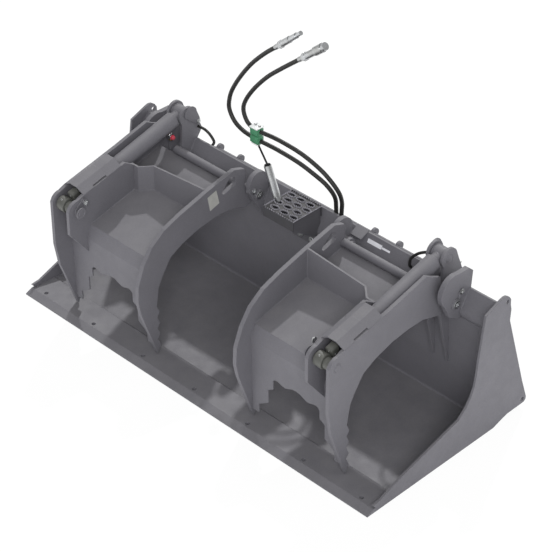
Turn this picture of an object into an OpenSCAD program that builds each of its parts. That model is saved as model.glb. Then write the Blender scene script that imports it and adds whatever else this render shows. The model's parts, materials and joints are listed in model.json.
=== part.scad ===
/* [Bucket] */

// Overall width over the side plates and the cutting edge, mm
bucket_width = 1981; // [1900:1:2060]
// Depth from cutting edge tip to the rear of the coupling plate, mm
bucket_depth = 923; // [922:0.5:925]
// Thickness of each side plate, mm
side_t = 10; // [8:0.5:12]
// Thickness of floor and back wall sheet, mm
shell_t = 10; // [8:0.5:12]
// Thickness of the cutting edge bar, mm
edge_t = 19; // [16:0.5:20]
// Depth of the cutting edge bar from tip to rear, mm
edge_depth = 150; // [130:1:180]
// Pitch of the holes in the cutting edge, mm
edge_hole_pitch = 304.8; // [290:0.1:310]
// Distance of the cutting edge holes behind the tip, mm
edge_hole_y = 51; // [48:0.5:60]
// Radius of the cutting edge holes, mm
edge_hole_r = 9; // [7:0.25:11]
// Radius of the tie down holes in the side plates, mm
tie_hole_r = 9.5; // [7:0.25:11]

/* [Pivots] */

// Radius of each grapple pivot pin, mm
pivot_pin_r = 15; // [13:0.25:16]
// Outer radius of the grapple pivot tube, mm
pivot_tube_r = 21; // [19:0.25:24]
// Radial running clearance of the pivots, mm
run_gap = 0.05; // [0.02:0.01:0.1]
// Thickness of the pivot ears, mm
ear_t = 22; // [18:0.5:25]
// Inner face of the inner pivot ear from the middle, mm
inner_ear_x = 224; // [220:0.5:226]
// Inner face of the outer pivot ear from the middle, mm
outer_ear_x = 811; // [808:0.5:816]
// Radius of the pin plates on the pivot ears, mm
pin_plate_r = 23; // [20:0.5:26]

/* [Grapple] */

// Thickness of the inner serrated tine plate, mm
tine_t = 19; // [16:0.5:20]
// Thickness of the two plates beside the rod, mm
bay_t = 16; // [14:0.5:17]
// Middle of the inner tine from the middle of the bucket, mm
tine_x = 278; // [276:0.5:280]
// Middle plane of the hydraulic cylinder, mm
cyl_x = 720; // [718:0.5:722]
// Free width between the two plates beside the rod, mm
bay_w = 88; // [87:0.5:90]
// Thickness of the folded pan sheet, mm
pan_t = 6; // [5:0.5:8]
// Thickness of the upright fence plate, mm
fence_t = 8; // [6:0.5:10]
// Thickness of the folded rod guard, mm
guard_t = 5; // [4:0.5:6]
// Height of the rod guard over the plate edges, mm
guard_h = 26; // [24:0.5:30]
// Depth of the serrations on the tines, mm
tooth_d = 14; // [8:0.5:18]
// Pitch of the serrations on the tines, mm
tooth_p = 55; // [50:1:58]

/* [Cylinder] */

// Outer radius of the cylinder barrel, mm
barrel_r = 35; // [32:0.5:36]
// Bore radius of the cylinder barrel, mm
bore_r = 29; // [27:0.5:30]
// Radius of the piston rod, mm
rod_r = 16; // [14:0.5:18]
// Outer radius of the eyes at both ends, mm
eye_r = 32; // [30:0.5:33]
// Width of the eyes at both ends, mm
eye_w = 57; // [54:0.5:58]
// Radius of the base and rod pins, mm
cyl_pin_r = 16; // [14:0.25:17]

/* [Step and hose holder] */

// Width of the step tread along the rail, mm
step_w = 168; // [160:1:180]
// Depth of the step tread, mm
step_d = 163; // [150:1:165]
// Sheet thickness of the step tread, mm
step_t = 3; // [2.5:0.5:4]
// Outer radius of the leaning storage tube, mm
store_r = 16; // [14:0.5:18]
// Radius of the supply hoses, mm
hose_r = 8; // [7:0.25:8]
// Radius of the short cylinder hoses, mm
jumper_r = 6; // [5:0.25:6.5]

/* [Output] */

// Show only one piece, or all of them

/* [Hidden] */

// Colours
paint = [0.30, 0.30, 0.34];
steel = [0.62, 0.62, 0.60];
zinc = [0.70, 0.72, 0.73];
black = [0.07, 0.07, 0.07];
brass = [0.70, 0.55, 0.28];
green = [0.12, 0.42, 0.20];

// Half widths and main points, all in the side view as depth and height
half_w = bucket_width / 2;
shell_x = half_w - side_t;
pivot = [640, 570];
base_pin = [677, 727];
rod_pin = [46, 564];
tilt = atan2(base_pin[1] - rod_pin[1], base_pin[0] - rod_pin[0]);
pin_span = norm(base_pin - rod_pin);
wall_top = [690, 478];
wall_mid = [706, 216];
wall_lean = atan2(wall_mid[0] - wall_top[0], wall_top[1] - wall_mid[1]);
qa_low = [914, 76];
qa_run = 162 / 508;
qa_skin = 8.4;
qa_top_z = 575;
rail_low_z = 540;

// Depth of the rear and front face of the coupling plate, and of the back wall's front face, at a height
function qa_y(z) = qa_low[0] - (z - qa_low[1]) * qa_run;
function qa_front(z) = qa_y(z) - qa_skin;
function wall_y(z) = wall_top[0] + (wall_top[1] - z) * tan(wall_lean);

// X positions of the plates and ears
tine_x0 = tine_x - tine_t / 2;
tine_x1 = tine_x + tine_t / 2;
bay_x0 = cyl_x - bay_w / 2;
bay_x1 = cyl_x + bay_w / 2;
plate2_x0 = bay_x0 - bay_t;
plate3_x1 = bay_x1 + bay_t;
clevis_t = 12;
clevis_gap = 1;
pin_out = 1;
clevis_in = cyl_x - eye_w / 2 - clevis_gap;
clevis_out = cyl_x + eye_w / 2 + clevis_gap;

// Outlines in the side view
rail_outer = [[720, 603], [675, 530], [671, 520], [670, 510], [673, 498], [680, 488], [wall_top[0], wall_top[1]],
    [wall_top[0] + shell_t, wall_top[1]], [qa_front(rail_low_z), rail_low_z], [qa_front(qa_top_z), qa_top_z],
    [728, 603]];
rail_inner = [[722, 594], [683, 527], [679, 519], [678, 511], [680, 502], [685, 495], [693, 488],
    [700, 488], [747, 541], [738, 571], [725, 594]];
rail_front = [[727, 603], [720, 603], [675, 530], [671, 520], [670, 510], [673, 498], [680, 488],
    [wall_top[0], wall_top[1]], [wall_y(300), 300], [900, 300], [900, 603]];
side_outline = [[46, edge_t], [31, 37], [73, 41], [180, 81], [507, 168], [546, 203], [575, 244], [591, 285],
    [600, 345], [606, 412], [622, 536], [631, 599], [715, 631], [731, 635], [747, 632], [764, 620], [774, 605],
    [775, 580], [781, 554], [778, 502], [795, 447], [888, 148], [bucket_depth, 47], [921, 33], [910, 26],
    [893, 25], [846, 25], [808, 24], [770, 14], [726, 0], [edge_depth, 0], [edge_depth, edge_t]];
ear_low = [[590, 596], [628, 528], [676, 448], [697, 448], [697, 603], [660, 650], [600, 640]];
ear_disc = [[643, 622], 53];
ear_disc_high = [[628, 635], 72];
ear_high = [[609, 520], [667, 488], [697, 485], [700, 560], [727, 603], [733, 681], [709, 702], [636, 703],
    [570, 600]];
concave = [[614, 502], [515, 533], [434, 533], [344, 521], [256, 494], [190, 460], [142, 389], [120, 345]];
tine_front = [[94, 554], [47, 486], [14, 400], [10, 324], [23, 258]];
tine_tip = [104, 20];
tooth_top = 260;
tooth_n = 4;
serration = [for (i = [0 : tooth_n - 1]) for (j = [0 : 1])
    [j == 0 ? 120 - tooth_d : 120, tooth_top - i * tooth_p - j * tooth_p * 0.62]];
guard_line = [[82, 623], [354, 685], [526, 729]];
guard_dir = atan2(guard_line[1][1] - guard_line[0][1], guard_line[1][0] - guard_line[0][0]);
hub_r = 45;
inner_hub_r = 30;
boss_out = 10;
front_r = 46;

// Pan sheet: front and upper surface line, folds and arch
pan_rear = [622, 592];
pan_end_y = 596;
rear_tube_p = [601, 604];
rear_tube_r = 18;
rear_tube_x1 = 672;
pan_bend = [111, 469];
pan_fold_a = [89, 410];
pan_fold_b = [92, 344];
pan_low = [97, 60];
pan_slope = (pan_rear[1] - pan_bend[1]) / (pan_rear[0] - pan_bend[0]);
pan_mid = (tine_x1 + bay_x1) / 2;
arch_half = [[0, 283], [20, 281], [40, 272], [57, 265], [75, 267], [95, 274], [108, 275], [118, 270],
    [124, 261], [124, 221], [151, 205], [151, 138], [203, 104], [203, 62], [232, 44], [232, 20]];

module at_origin() {
    translate([0, -bucket_depth / 2, 0])
        children();
}

module slab(x0, x1) {
    translate([x0, 0, 0])
        rotate([90, 0, 90])
            linear_extrude(height = x1 - x0)
                children();
}

module disc(p, r) {
    translate(p)
        circle(r = r, $fn = 64);
}

module bar_x(x0, x1, p, r) {
    translate([x0, p[0], p[1]])
        rotate([0, 90, 0])
            cylinder(h = x1 - x0, r = r, $fn = 64);
}

module side_of(s) {
    if (s > 0)
        children();
    else
        mirror([1, 0, 0])
            children();
}

// Bent floor and back wall sheet
module bucket_shell() {
    color(paint)
        at_origin()
            slab(-shell_x, shell_x)
                polygon([[edge_depth, 0], [722, 0], [733, 3], [737, 14], [wall_mid[0] + shell_t, wall_mid[1] + 1],
                    [wall_top[0] + shell_t, wall_top[1]], wall_top, wall_mid, [727, 17], [724, shell_t],
                    [edge_depth, shell_t]]);
}

// Hollow folded rail along the top of the back wall
module top_rail() {
    color(paint)
        at_origin()
            difference() {
                slab(-shell_x, shell_x)
                    difference() {
                        polygon(rail_outer);
                        polygon(rail_inner);
                    }
                for (p = [route_a[0], route_b[0]])
                    translate([p[0], p[1], rail_low_z + 10])
                        cylinder(h = 100, r = hose_r, $fn = 48);
            }
}

module side_plate(s) {
    color(paint)
        at_origin()
            side_of(s)
                slab(shell_x, half_w)
                    difference() {
                        polygon(side_outline);
                        disc([754, 602], tie_hole_r);
                        disc([bucket_depth - 23, 46], tie_hole_r);
                    }
}

module side_plate_left() {
    side_plate(-1);
}

module side_plate_right() {
    side_plate(1);
}

// Bevelled edge bar with a row of holes
module cutting_edge() {
    color(paint)
        at_origin()
            difference() {
                slab(-half_w, half_w)
                    polygon([[0, 0], [edge_depth, 0], [edge_depth, edge_t], [34, edge_t], [0, 4]]);
                for (i = [-3 : 3])
                    translate([i * edge_hole_pitch, edge_hole_y, -1])
                        cylinder(h = edge_t + 2, r = edge_hole_r, $fn = 48);
            }
}

// Rear coupling plate, leaning forward to the top
qa_half = 600;
hook_low_z = 571;

module quick_attach_plate() {
    color(paint)
        at_origin()
            slab(-qa_half, qa_half)
                polygon([qa_low, [qa_y(qa_top_z), qa_top_z], [qa_front(qa_top_z), qa_top_z],
                    [qa_front(qa_low[1]), qa_low[1]]]);
}

gusset_t = 12;
gusset_xs = [8 - qa_half, -470, 291, 422];
tab_r = 20;

// Lip along the top of the coupling plate, with four rounded stiffening tabs
module quick_attach_hook() {
    color(paint)
        at_origin() {
            slab(-qa_half, qa_half)
                polygon([[qa_front(qa_top_z), qa_top_z], [752, 583], [778, 566], [784, 545], [776, 543], [771, 560],
                    [qa_y(hook_low_z), hook_low_z], [qa_y(qa_top_z), qa_top_z]]);
            for (x = gusset_xs)
                slab(x - gusset_t / 2, x + gusset_t / 2)
                    difference() {
                        disc([777, 566], tab_r);
                        polygon([qa_low, [qa_y(qa_top_z), qa_top_z], [700, qa_top_z], [700, qa_low[1]]]);
                    }
        }
}

slot_x = 446;
slot_w = 64;
slot_d = 22;
slot_y = bucket_depth - 42;

module quick_attach_flange() {
    color(paint)
        at_origin()
            difference() {
                slab(-shell_x, shell_x)
                    polygon([[733, 3], [770, 14], [808, 24], [bucket_depth - 5, 25], [bucket_depth - 5, 35], [806, 34], [767, 24],
                        [737, 14]]);
                for (s = [-1, 1]) {
                    translate([s * slot_x - slot_w / 2 + slot_d / 2, slot_y - slot_d / 2, 10])
                        cube([slot_w - slot_d, slot_d, 40]);
                    for (t = [-1, 1])
                        translate([s * slot_x + t * (slot_w - slot_d) / 2, slot_y, 10])
                            cylinder(h = 40, r = slot_d / 2, $fn = 48);
                }
            }
}

flange_z = 34 + (qa_front(qa_low[1]) - 806) / (bucket_depth - 811);

// Plates between back wall and coupling plate, the upper ends stand behind the rail
module quick_attach_gussets() {
    color(paint)
        at_origin()
            for (x = gusset_xs)
                slab(x - gusset_t / 2, x + gusset_t / 2)
                    polygon([[wall_mid[0] + shell_t, wall_mid[1] + 1], [wall_top[0] + shell_t, wall_top[1]],
                        [qa_front(rail_low_z), rail_low_z], [qa_front(qa_low[1]), qa_low[1]],
                        [qa_front(qa_low[1]), flange_z], [806, 34], [767, 24], [737, 14]]);
}

module ear_outline(horn) {
    difference() {
        union() {
            polygon(horn ? ear_high : ear_low);
            disc(horn ? ear_disc_high[0] : ear_disc[0], horn ? ear_disc_high[1] : ear_disc[1]);
        }
        polygon(rail_front);
        disc(pivot, pivot_pin_r);
    }
}

module pivot_ear_inner(s) {
    color(paint)
        at_origin()
            side_of(s)
                slab(inner_ear_x, inner_ear_x + ear_t)
                    ear_outline(false);
}

module pivot_ear_outer(s) {
    color(paint)
        at_origin()
            side_of(s)
                slab(outer_ear_x, outer_ear_x + ear_t)
                    ear_outline(true);
}

module pivot_ear_inner_left() {
    pivot_ear_inner(-1);
}

module pivot_ear_inner_right() {
    pivot_ear_inner(1);
}

module pivot_ear_outer_left() {
    pivot_ear_outer(-1);
}

module pivot_ear_outer_right() {
    pivot_ear_outer(1);
}

clevis_r = 43;

// One base clevis ear with its long rib down the back wall
module clevis_outline() {
    difference() {
        union() {
            disc(base_pin, clevis_r);
            polygon([[645, 699], [639, 560], [642, 466], [700, 222], [wall_mid[0], wall_mid[1] + 4], wall_top,
                [695, 520], [700, 560], [757, 640], [733, 700], [717, 743]]);
        }
        polygon(rail_outer);
        polygon([wall_top, wall_mid, [760, 200], [760, 480]]);
        disc(base_pin, cyl_pin_r);
    }
}

module clevis_ears(s) {
    color(paint)
        at_origin()
            side_of(s) {
                slab(clevis_in - clevis_t, clevis_in)
                    clevis_outline();
                slab(clevis_out, clevis_out + clevis_t)
                    clevis_outline();
            }
}

module clevis_ears_left() {
    clevis_ears(-1);
}

module clevis_ears_right() {
    clevis_ears(1);
}

// Two short pivot pins held in the ears, each with a plate and head
module pivot_pin(s) {
    color(steel)
        at_origin()
            side_of(s) {
                bar_x(inner_ear_x, tine_x1 + boss_out, pivot, pivot_pin_r);
                bar_x(bay_x1, outer_ear_x + ear_t, pivot, pivot_pin_r);
                bar_x(inner_ear_x - 6, inner_ear_x, pivot, pin_plate_r);
                bar_x(outer_ear_x + ear_t, outer_ear_x + ear_t + 6, pivot, pin_plate_r);
                bar_x(inner_ear_x - 14, inner_ear_x - 6, pivot, 11);
                bar_x(outer_ear_x + ear_t + 6, outer_ear_x + ear_t + 14, pivot, 11);
            }
}

module pivot_pin_left() {
    pivot_pin(-1);
}

module pivot_pin_right() {
    pivot_pin(1);
}

module base_pin_of(s) {
    color(steel)
        at_origin()
            side_of(s)
                bar_x(clevis_in - clevis_t - pin_out, clevis_out + clevis_t + pin_out, base_pin, cyl_pin_r);
}

module base_pin_left() {
    base_pin_of(-1);
}

module base_pin_right() {
    base_pin_of(1);
}

lock_r = 8;

// Hexagon bolts that lock the pins, and two that hold the step's tail
module lock_bolt(x, p, d) {
    translate([x, p[0], p[1]])
        rotate([0, d * 90, 0])
            cylinder(h = 8, r = lock_r, $fn = 6);
}

module hex_bolts() {
    color(zinc)
        at_origin() {
            for (s = [-1, 1])
                translate([s * 31.5, wall_y(tail_bolt_z) - bracket_t, tail_bolt_z])
                    rotate([90 + wall_lean, 0, 0])
                        cylinder(h = 8, r = 10, $fn = 6);
            for (s = [-1, 1])
                side_of(s) {
                    lock_bolt(outer_ear_x + ear_t, [668, 616], 1);
                    lock_bolt(inner_ear_x, [612, 598], -1);
                    translate([clevis_out + clevis_t / 2, 745, 670])
                        rotate([-atan2(60, 24), 0, 0])
                            cylinder(h = 8, r = clevis_t / 2 - 0.2, $fn = 6);
                }
        }
}

// Step: channel shaped tread with open holes and toothed rims
step_z = 632;
step_y0 = 527;
step_y1 = step_y0 + step_d;
skirt_h = 44;
hole_nx = 3;
hole_ny = 4;
rim_n = 14;

module step_tread() {
    color(paint)
        at_origin()
            difference() {
                union() {
                    translate([-step_w / 2, step_y0, step_z - step_t])
                        cube([step_w, step_d, step_t]);
                    for (y = [step_y0, step_y1 - step_t])
                        translate([-step_w / 2, y, step_z - skirt_h])
                            cube([step_w, step_t, skirt_h + 1]);
                    for (y = [step_y0, step_y1 - step_t])
                        for (i = [0 : rim_n - 1])
                            translate([-step_w / 2 + (i + 0.25) * step_w / rim_n, y, step_z])
                                cube([step_w / rim_n / 2, step_t, 6]);
                }
                for (i = [0 : hole_nx - 1])
                    for (j = [0 : hole_ny - 1])
                        translate([(i - 1) * 52 + (j % 2 == 0 ? 8 : -8), step_y0 + 26 + j * 37, step_z - 10])
                            scale([1.5, 0.8, 1])
                                cylinder(h = 30, r = 13, $fn = 8);
            }
}

bracket_t = 5;
cheek_x = step_w / 2 - 6;
tail_z = 424;
tail_bolt_z = 447;

// Bent bracket under the step, with two cheeks and a tail on the back wall
module step_bracket() {
    color(paint)
        at_origin() {
            slab(-cheek_x, cheek_x)
                difference() {
                    polygon([[step_y0 + step_t, 586], [wall_y(480) - bracket_t, 480],
                        [wall_y(tail_z) - bracket_t, tail_z], [wall_y(tail_z), tail_z], wall_top,
                        [wall_top[0], wall_top[1] + 5], [step_y0 + step_t, 592]]);
                    polygon(rail_outer);
                }
            for (s = [-1, 1])
                side_of(s)
                    slab(cheek_x - bracket_t, cheek_x)
                        difference() {
                            polygon([[step_y0 + step_t, 590], [686, 482], [step_y1 - step_t, 482],
                                [step_y1 - step_t, step_z - step_t], [step_y0 + step_t, step_z - step_t]]);
                            polygon(rail_outer);
                        }
        }
}

// Leaning storage tube on the left end of the step
tube_foot = [-77, 603, step_z];
tube_lean = 23;
tube_len = 148;

module hose_tube() {
    color(zinc)
        at_origin()
            difference() {
                translate(tube_foot)
                    rotate([0, -tube_lean, 0])
                        translate([0, 0, -20])
                            difference() {
                                cylinder(h = tube_len + 20, r = store_r, $fn = 64);
                                translate([0, 0, -1])
                                    cylinder(h = tube_len + 22, r = store_r - 3, $fn = 64);
                            }
                translate([-150, 560, step_z - 60])
                    cube([150, 90, 60]);
            }
}

// Spring steel arm: close coils in the mouth of the storage tube and a straight wire up to the clamp
wire_r = 4;
coil_n = 4;
coil_p = 8.2;
coil_z = tube_len - 22;
arm_foot = tube_foot + (tube_len + 6) * [-sin(tube_lean), 0, cos(tube_lean)];
arm_top = [-231, 640, 818];

module wire(a, b) {
    v = b - a;
    translate(a)
        rotate([0, acos(v[2] / norm(v)), atan2(v[1], v[0])])
            cylinder(h = norm(v), r = wire_r, $fn = 32);
}

module hose_spring() {
    color(black)
        at_origin() {
            translate(tube_foot)
                rotate([0, -tube_lean, 0])
                    translate([0, 0, coil_z])
                        rotate_extrude($fn = 48) {
                            for (i = [0 : coil_n - 1])
                                translate([store_r - 3 - wire_r, i * coil_p])
                                    circle(r = wire_r, $fn = 24);
                            square([store_r - 3 - wire_r, (coil_n - 1) * coil_p + wire_r]);
                        }
            wire(arm_foot, arm_top);
            translate(arm_foot)
                sphere(r = wire_r + 1, $fn = 32);
        }
}

// Clamp block that holds both supply hoses, hung on the wire arm
clamp_y = 640;
clamp_za = 831;
clamp_zb = 875;
clamp_x0 = -256;
clamp_len = 50;

module hose_clamp() {
    color(green)
        at_origin()
            difference() {
                union() {
                    translate([clamp_x0, clamp_y - 17, clamp_za - 18])
                        cube([clamp_len, 34, clamp_zb - clamp_za + 36]);
                    translate([clamp_x0 + 4, clamp_y - 13, clamp_zb + 18])
                        cube([clamp_len - 8, 26, 4]);
                    for (s = [-1, 1])
                        translate([clamp_x0 + clamp_len / 2 + s * 13, clamp_y, clamp_zb + 22])
                            cylinder(h = 6, r = 7, $fn = 6);
                }
                for (z = [clamp_za, clamp_zb])
                    bar_x(clamp_x0 - 1, clamp_x0 + clamp_len + 1, [clamp_y, z], hose_r);
            }
}

// Flat lid on the rail beside the right inner ear, its front edge standing free
cover_z = 597.2;

module rail_cover() {
    color(paint)
        at_origin()
            slab(inner_ear_x + ear_t, 306)
                polygon([[728, 603], [728, 608], [680, 588.5], [681.8, 583.2],
                    [675 + (cover_z - 530) * 45 / 73, cover_z], [720, 603]]);
}

// Free hoses: one ring of points round each point of a route, swept to one tube
function lerp(a, b, t) = a + (b - a) * t;
function route_at(p, i, t) = let (n = len(p), a = p[max(i - 1, 0)], b = p[i], c = p[i + 1],
    d = p[min(i + 2, n - 1)]) 0.5 * ((2 * b) + (c - a) * t + (2 * a - 5 * b + 4 * c - d) * t * t
    + (3 * b - a - 3 * c + d) * t * t * t);
function smooth(p, k) = concat([for (i = [0 : len(p) - 2]) for (j = [0 : k - 1]) route_at(p, i, j / k)],
    [p[len(p) - 1]]);
function unit(v) = v / norm(v);
function tangent(p, i) = unit(p[min(i + 1, len(p) - 1)] - p[max(i - 1, 0)]);
function ring(p, i, r, n) = let (t = tangent(p, i), u = unit(cross([0, 1, 0], t)), w = cross(t, u))
    [for (k = [0 : n - 1]) p[i] + r * (cos(360 * k / n) * u + sin(360 * k / n) * w)];

module hose(p, r, n) {
    m = len(p);
    pts = [for (i = [0 : m - 1]) each ring(p, i, r, n)];
    walls = [for (i = [0 : m - 2]) for (k = [0 : n - 1])
        [i * n + k, i * n + (k + 1) % n, (i + 1) * n + (k + 1) % n, (i + 1) * n + k]];
    ends = [[for (k = [0 : n - 1]) n - 1 - k], [for (k = [0 : n - 1]) (m - 1) * n + k]];
    polyhedron(points = pts, faces = concat(walls, ends), convexity = 10);
}

hose_sides = 10;
route_a = [[118, 738, 556], [118, 738, 584], [118, 737, 620], [122, 723, 681], [88, 707, 731], [24, 690, 768], [-39, 673, 797],
    [-130, 652, 822], [-205, 640, 831], [-257, 640, 831], [-312, 640, 838], [-358, 640, 860], [-386, 640, 900],
    [-389, 640, 940], [-371, 640, 1000], [-322, 640, 1083], [-257, 640, 1169], [-184, 640, 1244],
    [-126, 640, 1294]];
route_b = [[146, 738, 556], [146, 738, 584], [148, 737, 620], [158, 726, 674], [150, 711, 727], [96, 697, 784], [30, 683, 824],
    [-38, 668, 852], [-128, 650, 872], [-205, 640, 875], [-257, 640, 876], [-290, 640, 895], [-307, 640, 938],
    [-293, 640, 987], [-245, 640, 1060], [-172, 640, 1143], [-88, 640, 1218], [1, 640, 1292]];

module supply_hose_a() {
    color(black)
        at_origin()
            hose(smooth(route_a, 2), hose_r, hose_sides);
}

module supply_hose_b() {
    color(black)
        at_origin()
            hose(smooth(route_b, 2), hose_r, hose_sides);
}

// Couplings at the hose ends, both turned about the last hose direction
module along(a, b) {
    v = b - a;
    translate(b)
        rotate([0, acos(v[2] / norm(v)), atan2(v[1], v[0])])
            children();
}

module coupler_male() {
    color(zinc)
        at_origin()
            along(route_a[len(route_a) - 2], route_a[len(route_a) - 1]) {
                cylinder(h = 28, r = 11, $fn = 48);
                translate([0, 0, 28])
                    cylinder(h = 22, r = 16, $fn = 6);
                translate([0, 0, 50])
                    cylinder(h = 52, r = 14, $fn = 48);
                translate([0, 0, 102])
                    cylinder(h = 46, r = 12, $fn = 48);
                translate([0, 0, 148])
                    cylinder(h = 30, r = 9, $fn = 48);
            }
}

module coupler_female() {
    color(zinc)
        at_origin()
            along(route_b[len(route_b) - 2], route_b[len(route_b) - 1]) {
                cylinder(h = 28, r = 11, $fn = 48);
                translate([0, 0, 28])
                    cylinder(h = 24, r = 17, $fn = 6);
                translate([0, 0, 52])
                    cylinder(h = 60, r = 15, $fn = 48);
                translate([0, 0, 112])
                    cylinder(h = 46, r = 19, $fn = 48);
                translate([0, 0, 158])
                    cylinder(h = 18, r = 16, $fn = 48);
            }
}

ear_face = clevis_in - clevis_t;
route_right = [[ear_face, 735, 655], [664, 735, 656], [646, 729, 664], [620, 710, 668], [592, 692, 656],
    [566, 684, 626], [554, 690, 588], [554, 699, 568.93]];
route_left = [[-ear_face, 735, 655], [-664, 736, 655], [-644, 741, 650], [-624, 748, 634], [-606, 752, 612],
    [-600, 750, 600], [-600, 737.23, 589]];

module jumper_hose_left() {
    color(black)
        at_origin()
            hose(smooth(route_left, 2), jumper_r, hose_sides);
}

module jumper_hose_right() {
    color(black)
        at_origin()
            hose(smooth(route_right, 2), jumper_r, hose_sides);
}

// Grapple plates in the side view
module tine_outline(top) {
    difference() {
        union() {
            polygon(concat(top, tine_front, [tine_tip], [for (i = [tooth_n * 2 - 1 : -1 : 0]) serration[i]],
                [for (i = [len(concave) - 1 : -1 : 0]) concave[i]], [[650, 530]]));
            disc(pivot, inner_hub_r);
        }
        disc(pivot, pivot_tube_r);
    }
}

tine_top = [[604, 612], [612, 662], [604, 689], [549, 709], [399, 675], [251, 635], [164, 604]];

module tine_inner(s) {
    color(paint)
        at_origin()
            side_of(s)
                slab(tine_x0, tine_x1)
                    difference() {
                        tine_outline(tine_top);
                        disc([491, 632], 12);
                        disc([532, 661], 22);
                        disc([544, 648], 12);
                        polygon([[484, 641], [496, 621], [548, 637], [532, 661], [516, 676]]);
                    }
}

module tine_inner_left() {
    tine_inner(-1);
}

module tine_inner_right() {
    tine_inner(1);
}

outer_top = [[610, 612], [612, 662], [606, 687], [570, 703], guard_line[2], guard_line[1], guard_line[0],
    [40, 606], [12, 590], [4, 575], [4, 369]];
outer_front = [[22, 258]];

module tine_outer(s) {
    color(paint)
        at_origin()
            side_of(s)
                slab(bay_x1, plate3_x1)
                    difference() {
                        union() {
                            polygon(concat(outer_top, outer_front, [tine_tip],
                                [for (i = [tooth_n * 2 - 1 : -1 : 0]) serration[i]],
                                [for (i = [len(concave) - 1 : -1 : 0]) concave[i]], [[650, 530]]));
                            disc(pivot, hub_r);
                            disc([rod_pin[0] + 4, rod_pin[1]], front_r);
                        }
                        disc(pivot, pivot_tube_r);
                        disc(rod_pin, cyl_pin_r);
                    }
}

module tine_outer_left() {
    tine_outer(-1);
}

module tine_outer_right() {
    tine_outer(1);
}

// Short second plate, standing on the pan and ending at the fence
bay_end_y = 361;
fence_z = 646;

function guard_z(y) = guard_line[0][1] + (y - guard_line[0][0]) * tan(guard_dir);

module bay_plate(s) {
    color(paint)
        at_origin()
            side_of(s)
                slab(plate2_x0, bay_x0)
                    difference() {
                        union() {
                            polygon([[bay_end_y, fence_z], [bay_end_y - fence_t, fence_z], [309, guard_z(309)],
                                guard_line[0], [40, 606], [12, 590], [0, 575], [0, 465], pan_fold_b, pan_fold_a,
                                pan_bend, [bay_end_y, pan_z(bay_end_y)]]);
                            disc([rod_pin[0], rod_pin[1]], front_r);
                        }
                        disc(rod_pin, cyl_pin_r);
                    }
}

module bay_plate_left() {
    bay_plate(-1);
}

module bay_plate_right() {
    bay_plate(1);
}

// Folded pan sheet: rear floor, two folds and the arched front with stepped legs
pan_front = [pan_bend, pan_fold_a, pan_fold_b, pan_low];
pan_back = [[pan_low[0] + pan_t, pan_low[1]], [pan_fold_b[0] + pan_t, pan_fold_b[1]],
    [pan_fold_a[0] + pan_t, pan_fold_a[1] - 1], [pan_bend[0] + pan_t * 0.77, pan_bend[1] - pan_t * 0.85]];

function pan_z(y) = pan_bend[1] + pan_slope * (y - pan_bend[0]);

module pan_sheet(s) {
    color(paint)
        at_origin()
            side_of(s)
                difference() {
                    slab(tine_x1, bay_x1)
                        polygon(concat([[pan_end_y, pan_z(pan_end_y)]], pan_front, pan_back,
                            [[pan_end_y, pan_z(pan_end_y) - pan_t]]));
                    translate([pan_mid, 130, 0])
                        rotate([90, 0, 0])
                            linear_extrude(height = 80)
                                polygon(concat(arch_half, [for (i = [len(arch_half) - 1 : -1 : 1])
                                    [-arch_half[i][0], arch_half[i][1]]]));
                    bar_x(tine_x0, rear_tube_x1, rear_tube_p, rear_tube_r);
                }
}

module pan_sheet_left() {
    pan_sheet(-1);
}

module pan_sheet_right() {
    pan_sheet(1);
}

// Upright bent fence standing on the pan
fence_y = 396;
fence_x1 = 586;
fence_x2 = 634;
fence_y2 = bay_end_y - fence_t;

module fence(s) {
    color(paint)
        at_origin()
            side_of(s)
                difference() {
                    translate([0, 0, 480])
                        linear_extrude(height = 240)
                            polygon([[tine_x1, fence_y], [fence_x1, fence_y], [fence_x2, fence_y2],
                                [plate2_x0, fence_y2], [plate2_x0, fence_y2 + fence_t],
                                [fence_x2 + 3, fence_y2 + fence_t], [fence_x1 + 3, fence_y + fence_t],
                                [tine_x1, fence_y + fence_t]]);
                    slab(200, 700)
                        polygon([[200, 300], [500, 300], [500, pan_z(500)], [200, pan_z(200)]]);
                    translate([0, 500, 0])
                        rotate([90, 0, 0])
                            linear_extrude(height = 300)
                                polygon([[tine_x1 - 1, 677], [fence_x1, 652], [fence_x2, fence_z], [700, fence_z], [700, 760],
                                    [tine_x1 - 1, 760]]);
                }
}

module fence_left() {
    fence(-1);
}

module fence_right() {
    fence(1);
}

// Two pivot bosses, one through each tine
module pivot_boss(s) {
    color(paint)
        at_origin()
            side_of(s)
                difference() {
                    union() {
                        bar_x(inner_ear_x + ear_t + 0.5, tine_x1 + boss_out, pivot, pivot_tube_r);
                        bar_x(bay_x1, outer_ear_x - 0.5, pivot, pivot_tube_r);
                        bar_x(inner_ear_x + ear_t + 0.5, tine_x0, pivot, pivot_tube_r + 7);
                        bar_x(plate3_x1, outer_ear_x - 0.5, pivot, pivot_tube_r + 7);
                    }
                    bar_x(inner_ear_x, outer_ear_x + ear_t, pivot, pivot_pin_r + run_gap);
                }
}

module pivot_boss_left() {
    pivot_boss(-1);
}

module pivot_boss_right() {
    pivot_boss(1);
}

// Round tube along the rear edge of the pan, closed by the tine at its inner end
module rear_tube(s) {
    color(paint)
        at_origin()
            side_of(s)
                difference() {
                    bar_x(tine_x1, rear_tube_x1, rear_tube_p, rear_tube_r);
                    bar_x(tine_x1 + 20, rear_tube_x1 + 1, rear_tube_p, rear_tube_r - 5);
                }
}

module rear_tube_left() {
    rear_tube(-1);
}

module rear_tube_right() {
    rear_tube(1);
}

// Folded cover over the rod, standing on the edges of both plates
guard_len = 209;
guard_top_w = 22;

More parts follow.
